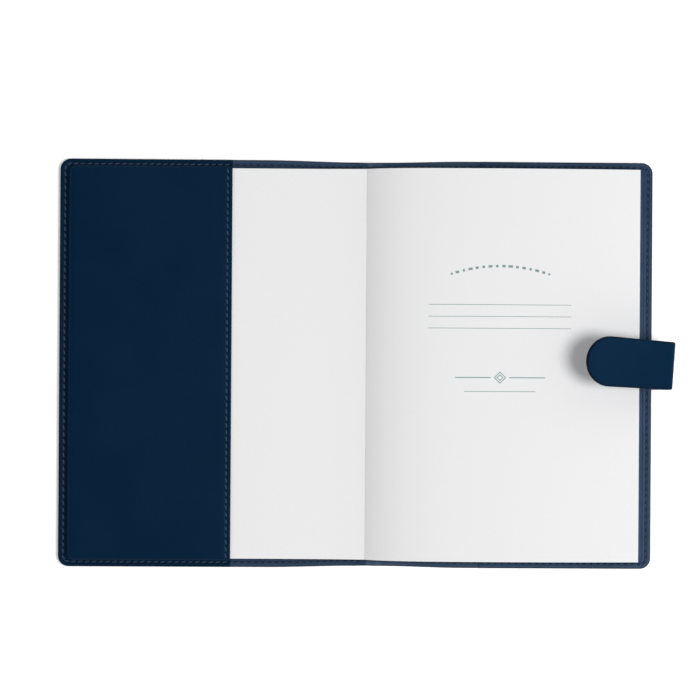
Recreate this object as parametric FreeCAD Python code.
import FreeCAD, Part
import math
import os

# An A5 log book in a refillable leather cover with a magnetic closing tab, lying open at its first page.
# All sizes are millimetres. X runs from the front cover to the closing tab, Y runs to the head of the book
# and Z is up. Shapes are drawn about the cover's centre line and moved to the final origin in save().

# ---- driving dimensions: leather cover ----
cover_half_length = 159.85
cover_half_width = 109.75
waist_depth = 0.9
waist_length = 62.0
cover_corner_radius = 5.8
leather_thickness = 0.9
stiffener_thickness = 1.0
lining_thickness = 0.5
flap_thickness = 0.8
flap_length = 93.0
front_inner_x = -1.0
rear_inner_x = 13.5
spine_gap = 0.2
spine_fold_crest = 3.2

# ---- driving dimensions: notebook ----
page_half_width = 105.0
page_edge_x = 151.7
board_thickness = 2.0
board_half_width = 105.3
board_edge_margin = 5.85
board_corner_radius = 3.0
sheet_thickness = 0.2
block_thickness = 13.8
block_crown_x = 75.0
block_crown_drop = 3.0
section_count = 10
turned_section_count = 5
gutter_x = 5.2
gutter_height = 7.4
block_heel_x = 12.5
page_curl_length = 16.0
leaf_start_x = 8.2
front_curl_height = 2.3
front_curl_length = 20.0
front_curl_reach = 59.0
turn_deg = 179.5
stack_clearance = 0.1
travel_clearance = 0.3
spine_cloth_thickness = 0.4

# ---- driving dimensions: closing tab ----
tab_width = 26.0
tab_neck_width = 25.0
tab_thickness = 3.0
tab_skin_thickness = 1.0
tab_bend_radius = 9.0
tab_outer_x = 170.6
tab_tip_x = 122.5
tab_rise_deg = 16.0
tab_skew_deg = 3.8
tab_tongue_length = 20.0
magnet_radius = 6.0
front_plate_radius = 8.0
joint_gap = 0.1

# ---- driving dimensions: stitching ----
stitch_inset = 2.7
stitch_pitch = 3.7
stitch_length = 2.7
stitch_width = 0.7
stitch_height = 0.25
stitch_slant_deg = 12.0
flap_stitch_inset = 2.5

# ---- worked-out levels, measured up from the outside of a cover panel ----
stiffener_base = leather_thickness
lining_base = stiffener_base + stiffener_thickness
board_base = lining_base + lining_thickness
pastedown_base = board_base + board_thickness
flap_base = pastedown_base + sheet_thickness
flap_top = flap_base + flap_thickness
margin_lining_top = leather_thickness + lining_thickness
margin_flap_top = margin_lining_top + flap_thickness
flyleaf_base = flap_top
block_base = flyleaf_base + sheet_thickness
block_top = block_base + block_thickness
leaf_base = block_top + 2 * stack_clearance
leaf_top = leaf_base + sheet_thickness
closed_slope = math.sin(math.radians(180 - turn_deg))
crown_reach = cover_half_length - block_crown_x
closed_height = leaf_top + travel_clearance + flap_top + crown_reach * closed_slope
tab_underside = closed_height + travel_clearance
tab_mid_height = tab_underside + tab_thickness / 2

board_wall = board_edge_margin - flap_thickness
front_length = cover_half_length + front_inner_x
rear_length = cover_half_length - rear_inner_x
tab_column_x = tab_outer_x - tab_thickness / 2
tab_bend_x = tab_column_x - tab_bend_radius
tab_hinge_z = (tab_thickness / 2 + tab_mid_height) / 2
tab_swing_x = tab_outer_x + tab_neck_width / 2 * math.sin(math.radians(tab_skew_deg))
origin_shift = -(tab_outer_x - cover_half_length) / 2


def vec(x, y, z):
    return FreeCAD.Vector(x, y, z)


def save(name, shape):
    moved = shape.copy()
    moved.translate(vec(origin_shift, 0, 0))
    moved.exportStep("parts/" + name + ".step")


def hinge_point(open_point, closed_point):
    """The X and Z of the axis whose turn about +Y takes one point to the other, each given as (x, z)."""
    start = complex(open_point[1], open_point[0])
    end = complex(closed_point[1], closed_point[0])
    turn = complex(math.cos(math.radians(turn_deg)), math.sin(math.radians(turn_deg)))
    centre = (end - turn * start) / (1 - turn)
    return centre.imag, centre.real


def extrude_profile(edges, half_width):
    """A solid whose outline lies in the X-Z plane, centred on Y = 0."""
    face = Part.Face(Part.Wire(edges))
    face.translate(vec(0, -half_width, 0))
    return face.extrude(vec(0, 2 * half_width, 0))


def curve_through(points):
    curve = Part.BSplineCurve()
    curve.interpolate(points)
    return curve.toShape()


# ---- cover panels, drawn with the fore-edge at X = 0 and the spine edge at X = length ----
def panel_outline(start, end, half_width, radius, waist=0.0):
    """A sheet outline with round fore-edge corners, drawn in slightly toward the spine."""
    shoulder = max(start + radius, end - waist_length)
    inner = half_width - waist
    cut = radius * (1 - math.sqrt(0.5))
    tail = [vec(start + radius, -half_width, 0), vec(shoulder, -half_width, 0), vec(end, -inner, 0)]
    head = [vec(end, inner, 0), vec(shoulder, half_width, 0), vec(start + radius, half_width, 0)]
    low = vec(start, -half_width + radius, 0)
    high = vec(start, half_width - radius, 0)
    edges = [Part.makeLine(a, b) for a, b in zip(tail + head, (tail + head)[1:]) if not a.isEqual(b, 1e-6)]
    edges.append(Part.Arc(head[2], vec(start + cut, half_width - cut, 0), high).toShape())
    edges.append(Part.makeLine(high, low))
    edges.append(Part.Arc(low, vec(start + cut, -half_width + cut, 0), tail[0]).toShape())
    return Part.Wire(Part.__sortEdges__(edges))


def sheet(start, end, half_width, radius, bottom, top, waist=0.0):
    face = Part.Face(panel_outline(start, end, half_width, radius, waist))
    face.translate(vec(0, 0, bottom))
    return face.extrude(vec(0, 0, top - bottom))


def outer_leather(length):
    return sheet(0, length, cover_half_width, cover_corner_radius, 0, leather_thickness, waist_depth)


def stiffener(length):
    return sheet(board_edge_margin, length, board_half_width - flap_thickness, board_corner_radius,
                 stiffener_base, lining_base)


def lining(length):
    """The lining lies on the leather round the margin and steps up over the stiffener."""
    margin = sheet(0, length, cover_half_width, cover_corner_radius, leather_thickness, margin_lining_top,
                   waist_depth)
    raised = sheet(board_edge_margin - lining_thickness, length, board_half_width, board_corner_radius,
                   leather_thickness, board_base)
    return margin.fuse(raised).cut(stiffener(length)).removeSplitter()


def flat_sheet(length, half_width, bottom, top):
    """A board or paper that lies flat from the fore-edge margin to the spine edge."""
    return sheet(board_edge_margin, length, half_width, board_corner_radius, bottom, top)


def curl_line(length, level):
    """Points along a level that rises toward the spine edge, where the notebook lifts off the lining."""
    base = math.exp(-front_curl_reach / front_curl_length)
    spans = 12
    points = []
    for index in range(spans + 1):
        x = length - front_curl_reach * (1 - index / spans) ** 2
        points.append(vec(x, 0, level + front_curl_height * (math.exp((x - length) / front_curl_length) - base)))
    return points


def curled_sheet(length, half_width, bottom, top):
    """A board or paper that is flat in the pocket and curls up toward the gutter."""
    flat = flat_sheet(length - front_curl_reach, half_width, bottom, top)
    curl = between_curves(curl_line(length, bottom), curl_line(length, top), half_width)
    return flat.fuse(curl)


def pocket_flap():
    """The sewn pocket: flat on the margin, up the board's edge and over its face."""
    margin = sheet(0, flap_length, cover_half_width, cover_corner_radius, margin_lining_top, margin_flap_top)
    hump = sheet(board_wall, flap_length, board_half_width + flap_thickness, board_corner_radius,
                 margin_lining_top, flap_top)
    inside = sheet(board_edge_margin, flap_length, board_half_width, board_corner_radius,
                   margin_lining_top, flap_base)
    lining_step = sheet(board_edge_margin - lining_thickness, flap_length, board_half_width,
                        board_corner_radius, margin_lining_top, board_base)
    return margin.fuse(hump).cut(inside).cut(lining_step).removeSplitter()


def stitch(middle, direction):
    """One slanted stitch lying on the surface at its middle point."""
    block = Part.makeBox(stitch_length, stitch_width, stitch_height,
                         vec(-stitch_length / 2, -stitch_width / 2, 0))
    angle = math.degrees(math.atan2(direction.y, direction.x)) + stitch_slant_deg
    block.rotate(vec(0, 0, 0), vec(0, 0, 1), angle)
    block.translate(middle)
    return block


def stitch_row(path, height_at):
    count = round(path.Length / stitch_pitch)
    points = path.discretize(Number=count + 1)
    row = []
    for first, second in zip(points, points[1:]):
        middle = (first + second) * 0.5
        row.append(stitch(vec(middle.x, middle.y, height_at(middle.x)), second - first))
    return row


def perimeter_stitching(length):
    """Stitches round three sides of a panel, on the pocket flap and then on the lining."""
    half = cover_half_width - stitch_inset
    radius = cover_corner_radius - stitch_inset
    outline = panel_outline(stitch_inset, length, half, radius, waist_depth)
    open_edges = [edge for edge in outline.Edges if edge.CenterOfMass.x < length - stitch_inset / 2]
    path = Part.Wire(Part.__sortEdges__(open_edges))

    def height(x):
        return margin_flap_top if x < flap_length else margin_lining_top

    step_zone = stitch_length / 2 + stitch_width
    return Part.makeCompound([piece for piece in stitch_row(path, height)
                              if abs(piece.CenterOfMass.x - flap_length) > step_zone])


def flap_stitching():
    x = flap_length - flap_stitch_inset
    path = Part.Wire([Part.makeLine(vec(x, -board_half_width, 0), vec(x, board_half_width, 0))])
    return Part.makeCompound(stitch_row(path, lambda at: flap_top))


def place_front(shape):
    placed = shape.copy()
    placed.translate(vec(-cover_half_length, 0, 0))
    return placed


def place_rear(shape):
    placed = shape.mirror(vec(0, 0, 0), vec(1, 0, 0))
    placed.translate(vec(cover_half_length, 0, 0))
    return placed


# ---- text block ----
def crown_loss(x):
    """How far the swelling block has fallen from its highest line, toward the fore-edge."""
    return block_crown_drop * max(0, (x - block_crown_x) / (page_edge_x - block_crown_x)) ** 2


def leaf_curve(fraction, start_x, lift=0.0):
    """The line of a leaf at a fraction of the block's height, curling down into the gutter."""
    root_x = block_heel_x + (gutter_x - block_heel_x) * fraction
    first = max(root_x, start_x)
    spans = 16
    points = []
    for index in range(spans + 1):
        x = first + (page_edge_x - first) * (index / spans) ** 2
        dip = (block_top - gutter_height) * math.exp(-(x - root_x) / page_curl_length)
        height = (block_thickness - crown_loss(x) - dip) * fraction
        points.append(vec(x, 0, block_base + height + lift))
    return points


def between_curves(lower, upper, half_width):
    edges = [curve_through(lower), Part.makeLine(lower[-1], upper[-1]),
             curve_through(upper), Part.makeLine(upper[0], lower[0])]
    return extrude_profile(Part.__sortEdges__(edges), half_width)


def section(number):
    """A sewn section; number 1 is on top, and the turned ones sit a hair above the rest."""
    lift = stack_clearance if number <= turned_section_count else 0.0
    upper = (section_count + 1 - number) / section_count
    lower = (section_count - number) / section_count
    return between_curves(leaf_curve(lower, 0, lift), leaf_curve(upper, 0, lift), page_half_width)


def title_leaf():
    rise = leaf_base - block_top
    lower = leaf_curve(1, leaf_start_x, rise)
    upper = leaf_curve(1, leaf_start_x, rise + sheet_thickness)
    return between_curves(lower, upper, page_half_width)


def rear_flyleaf():
    return Part.makeBox(page_edge_x - block_heel_x, 2 * page_half_width, sheet_thickness,
                        vec(block_heel_x, -page_half_width, flyleaf_base))


def spine_strip(near, far, half_width):
    """A flat strip glued along the slanted back of the text block, between two distances from it."""
    heel = vec(block_heel_x, 0, block_base)
    ridge = vec(gutter_x, 0, gutter_height)
    along = (ridge - heel).normalize()
    outward = vec(-along.z, 0, along.x)
    corners = [heel + outward * near, ridge + outward * near, ridge + outward * far, heel + outward * far]
    edges = [Part.makeLine(a, b) for a, b in zip(corners, corners[1:] + corners[:1])]
    return extrude_profile(edges, half_width)


# ---- soft spine, drawn as ribbons along a smooth line ----
def ribbon(points, thickness, half_width, offset=0.0):
    """A strip of even thickness along a line, or set off above it by an even distance."""
    line = Part.BSplineCurve()
    line.interpolate(points)
    first, last = line.FirstParameter, line.LastParameter
    spans = 24
    below = []
    above = []
    for index in range(spans + 1):
        at = first + (last - first) * index / spans
        tangent = line.tangent(at)[0]
        normal = vec(-tangent.z, 0, tangent.x).normalize()
        middle = line.value(at)
        below.append(middle + normal * (offset - thickness / 2))
        above.append(middle + normal * (offset + thickness / 2))
    return between_curves(below, above, half_width)


def spine_line():
    """The slack of the soft spine stands up as a fold under the gutter, from panel to panel."""
    level = leather_thickness / 2 + stack_clearance
    start = front_inner_x + spine_gap
    end = rear_inner_x - spine_gap
    crest_x = (gutter_x + front_inner_x + end - start) / 4
    foot = (end - start) / 16
    half_way = (level + spine_fold_crest) / 2
    return [vec(start, 0, level), vec(start + foot, 0, level), vec((start + crest_x) / 2, 0, half_way),
            vec(crest_x, 0, spine_fold_crest), vec((crest_x + end) / 2, 0, half_way),
            vec(end - foot, 0, level), vec(end, 0, level)]


def spine_leather():
    return ribbon(spine_line(), leather_thickness, cover_half_width - waist_depth)


def spine_lining():
    touching = (leather_thickness + lining_thickness) / 2 + stack_clearance
    return ribbon(spine_line(), lining_thickness, cover_half_width - waist_depth, touching)


def endpaper_fold():
    """The paper that carries on from the front board to the first leaf."""
    start = vec(front_inner_x + spine_gap, 0, curl_line(front_length, pastedown_base)[-1].z + sheet_thickness)
    end = vec(gutter_x - spine_gap, 0, gutter_height + stack_clearance)
    middle = (start + end) * 0.5 + vec(0, 0, sheet_thickness)
    return ribbon([start, middle, end], sheet_thickness, page_half_width)


# ---- closing tab ----
def strap_arc(centre_z, start_deg, end_deg):
    """A round bend of the strap about the bend centre line, angles measured from +X toward +Z."""
    centre = vec(tab_bend_x, 0, centre_z)

    def point(radius, angle):
        turn = math.radians(angle)
        return centre + vec(radius * math.cos(turn), 0, radius * math.sin(turn))

    outer = tab_bend_radius + tab_thickness / 2
    inner = tab_bend_radius - tab_thickness / 2
    middle = (start_deg + end_deg) / 2
    edges = [Part.Arc(point(outer, start_deg), point(outer, middle), point(outer, end_deg)).toShape(),
             Part.makeLine(point(outer, end_deg), point(inner, end_deg)),
             Part.Arc(point(inner, end_deg), point(inner, middle), point(inner, start_deg)).toShape(),
             Part.makeLine(point(inner, start_deg), point(outer, start_deg))]
    return extrude_profile(edges, tab_neck_width / 2)


def strap_column(bottom, top):
    return Part.makeBox(tab_thickness, tab_neck_width, top - bottom,
                        vec(tab_outer_x - tab_thickness, -tab_neck_width / 2, bottom))


def tab_tongue():
    """The skived end of the strap, sewn between the leather and the lining."""
    start = cover_half_length - tab_tongue_length
    return Part.makeBox(tab_bend_x - start, tab_neck_width, lining_thickness,
                        vec(start, -tab_neck_width / 2, stiffener_base))


def tab_root_strap():
    low_centre = tab_thickness / 2 + tab_bend_radius
    bend = strap_arc(low_centre, -90, 0)
    column = strap_column(low_centre, tab_hinge_z - joint_gap)
    return tab_tongue().fuse(bend).fuse(column).removeSplitter()


def skew(shape):
    """Turn the upper strap a little toward the head, as the soft strap sits."""
    turned = shape.copy()
    turned.rotate(vec(tab_outer_x, 0, 0), vec(0, 0, 1), -tab_skew_deg)
    return turned


def tab_bend_strap():
    high_centre = tab_mid_height - tab_bend_radius
    column = strap_column(tab_hinge_z, high_centre)
    return skew(strap_arc(high_centre, 0, 90).fuse(column).removeSplitter())


def tab_layer(bottom, top, inset=0.0):
    """A layer of the tip: straight sides that widen a little to a round end."""
    neck = tab_neck_width / 2 - inset
    wide = tab_width / 2 - inset
    root = tab_bend_x - joint_gap - inset
    round_x = tab_tip_x + tab_width / 2
    edges = [Part.makeLine(vec(root, -neck, bottom), vec(root, neck, bottom)),
             Part.makeLine(vec(root, neck, bottom), vec(round_x, wide, bottom)),
             Part.Arc(vec(round_x, wide, bottom), vec(round_x - wide, 0, bottom),
                      vec(round_x, -wide, bottom)).toShape(),
             Part.makeLine(vec(round_x, -wide, bottom), vec(root, -neck, bottom))]
    return Part.Face(Part.Wire(edges)).extrude(vec(0, 0, top - bottom))


def raise_tip(shape):
    """Lift the tip about the top edge of the strap, then skew it with the strap."""
    lifted = shape.copy()
    lifted.rotate(vec(tab_bend_x, 0, tab_underside + tab_thickness), vec(0, 1, 0), tab_rise_deg)
    return skew(lifted)


def tab_magnet_disc():
    bottom = tab_underside + tab_skin_thickness
    return Part.makeCylinder(magnet_radius, tab_thickness - 2 * tab_skin_thickness,
                             vec(tab_tip_x + tab_width / 2, 0, bottom))


def front_magnet_plate():
    distance = tab_tip_x + tab_width / 2
    return Part.makeCylinder(front_plate_radius, stiffener_thickness,
                             vec(cover_half_length - distance, 0, stiffener_base))


def tab_tip_parts():
    low_skin = tab_underside + tab_skin_thickness
    high_skin = tab_underside + tab_thickness - tab_skin_thickness
    core = tab_layer(low_skin, high_skin, tab_skin_thickness)
    filled = tab_layer(low_skin, high_skin)
    inner = tab_layer(tab_underside, low_skin)
    outer = tab_layer(high_skin, tab_underside + tab_thickness).fuse(filled.cut(core)).removeSplitter()
    return {
        "tab_inner_skin": raise_tip(inner),
        "tab_outer_skin": raise_tip(outer),
        "tab_core": raise_tip(core.cut(tab_magnet_disc())),
        "tab_magnet": raise_tip(tab_magnet_disc()),
    }


# ---- build and export every piece ----
os.makedirs("parts", exist_ok=True)

tongue_slot = Part.makeBox(tab_tongue_length, tab_neck_width, lining_thickness,
                           vec(0, -tab_neck_width / 2, stiffener_base))

save("front_outer_leather", place_front(outer_leather(front_length)))
save("front_stiffener", place_front(stiffener(front_length).cut(front_magnet_plate())))
save("front_magnet_plate", place_front(front_magnet_plate()))
save("front_lining", place_front(lining(front_length)))
save("front_pocket_flap", place_front(pocket_flap()))
save("notebook_front_board", place_front(curled_sheet(front_length, board_half_width, board_base,
                                                      pastedown_base)))
save("front_pastedown", place_front(curled_sheet(front_length, page_half_width, pastedown_base, flap_base)))
save("front_stitching", place_front(perimeter_stitching(front_length)))
save("front_flap_stitching", place_front(flap_stitching()))

save("rear_outer_leather", place_rear(outer_leather(rear_length)))
save("rear_stiffener", place_rear(stiffener(rear_length).cut(tongue_slot)))
save("rear_lining", place_rear(lining(rear_length).cut(tongue_slot)))
save("rear_pocket_flap", place_rear(pocket_flap()))
save("notebook_rear_board", place_rear(flat_sheet(rear_length, board_half_width, board_base,
                                                  pastedown_base)))
save("rear_pastedown", place_rear(flat_sheet(rear_length, page_half_width, pastedown_base, flap_base)))
save("rear_stitching", place_rear(perimeter_stitching(rear_length)))

save("rear_flyleaf", rear_flyleaf())
for number in range(1, section_count + 1):
    save("section_%02d" % number, section(number))
save("title_leaf", title_leaf())
save("spine_gauze", spine_strip(0, sheet_thickness, page_half_width))
save("notebook_spine_cloth", spine_strip(sheet_thickness, sheet_thickness + spine_cloth_thickness,
                                         page_half_width))
save("spine_leather", spine_leather())
save("spine_lining", spine_lining())
save("endpaper_fold", endpaper_fold())

save("tab_root_strap", tab_root_strap())
save("tab_bend_strap", tab_bend_strap())
for name, shape in tab_tip_parts().items():
    save(name, shape)

cover_axis = hinge_point((-cover_half_length, 0), (cover_half_length, closed_height))
flap_reach = gutter_x + cover_half_length - flap_length
page_axis_z = (flap_top + travel_clearance + leaf_top - flap_reach * closed_slope) / 2
print("cover axis x z", cover_axis[0] + origin_shift, cover_axis[1])
print("page axis x z", gutter_x + origin_shift, page_axis_z)
print("tab swing axis x z", tab_swing_x + origin_shift, tab_hinge_z)
print("tab tip axis x z", tab_bend_x + origin_shift, tab_underside + tab_thickness)
print("closed height", closed_height, "tab underside", tab_underside)
